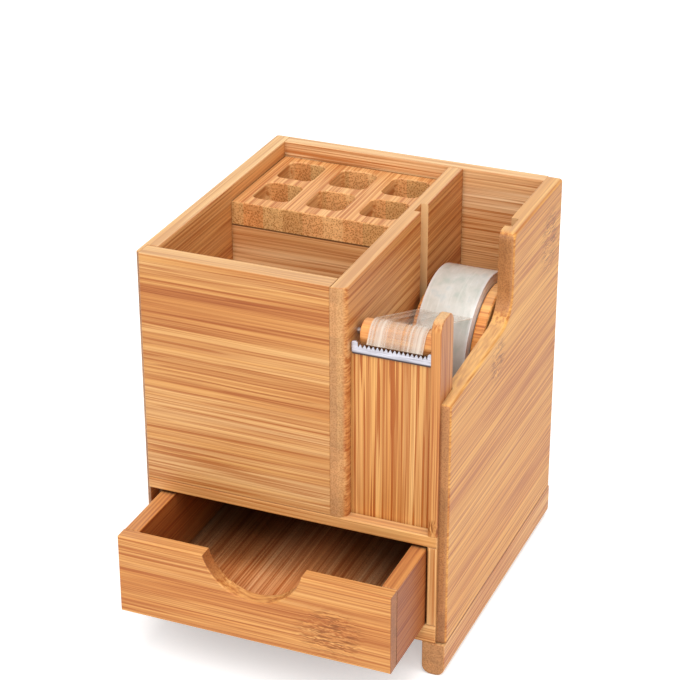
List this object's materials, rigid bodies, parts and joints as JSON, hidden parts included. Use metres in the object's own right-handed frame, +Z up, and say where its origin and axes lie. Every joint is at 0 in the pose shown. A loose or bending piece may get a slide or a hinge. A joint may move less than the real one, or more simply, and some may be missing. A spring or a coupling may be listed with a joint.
{
  "type": "tape dispenser organizer with drawer",
  "caption": "Wooden desk organizer with an open well, a slotted holder grid, a lift-out tape spool with guide roller and toothed blade, and a pull-out drawer.",
  "frame": {"origin": "on the desk, under the middle of the whole object as pictured, with the drawer part-way out", "axes": "+X to the right along the front, +Y to the back, +Z up"},
  "size_m": [0.11, 0.1456, 0.1375],
  "materials": {
    "bamboo": "satin lacquer on laminated bamboo",
    "roller_wood": "satin turned wood",
    "spool_wood": "satin turned wood",
    "blade_steel": "bright stamped sheet",
    "brad_steel": "bright wire",
    "pin_steel": "drawn wire",
    "core_board": "matt card",
    "tape": "translucent wound film",
    "tape_film": "clear film"
  },
  "bodies": {
    "case": {"left_side_panel": "bamboo", "right_side_panel": "bamboo", "back_panel": "bamboo", "front_panel": "bamboo", "divider_panel": "bamboo", "shelf_board": "bamboo", "base_board": "bamboo", "runner_left": "bamboo", "runner_right": "bamboo", "bay_liner": "bamboo", "cheek_post": "bamboo", "slot_grid": "bamboo", "partition_panel": "bamboo", "tape_front_panel": "bamboo", "cutter_blade": "blade_steel", "blade_brads": "brad_steel", "roller_pin": "pin_steel"},
    "drawer": {"drawer_front": "bamboo", "drawer_left_side": "bamboo", "drawer_right_side": "bamboo", "drawer_back": "bamboo", "drawer_bottom": "bamboo"},
    "axle": {"spool_axle": "spool_wood", "tape_film": "tape_film"},
    "spool": {"spool_hub": "spool_wood", "spool_disc_left": "spool_wood", "spool_disc_right": "spool_wood", "tape_core": "core_board", "tape_roll": "tape"},
    "roller": {"guide_roller": "roller_wood"}
  },
  "joints": [
    {"name": "drawer_slide", "type": "slide", "parent": "case", "child": "drawer", "axis": [0, -1, 0], "range_m": [-0.0313, 0.04]},
    {"name": "spool_lift", "type": "slide", "parent": "case", "child": "axle", "axis": [0, 0, 1], "range_m": [0, 0.055]},
    {"name": "spool_spin", "type": "hinge", "parent": "axle", "child": "spool", "pos_m": [0.03455, 0.02875, 0.09], "axis": [1, 0, 0], "continuous": true},
    {"name": "guide_roller_spin", "type": "hinge", "parent": "case", "child": "roller", "pos_m": [0.03455, -0.03075, 0.1186], "axis": [1, 0, 0], "continuous": true}
  ],
  "couplings": [
    {"joint": "guide_roller_spin", "follows": "spool_spin", "ratio": 5.7778}
  ]
}
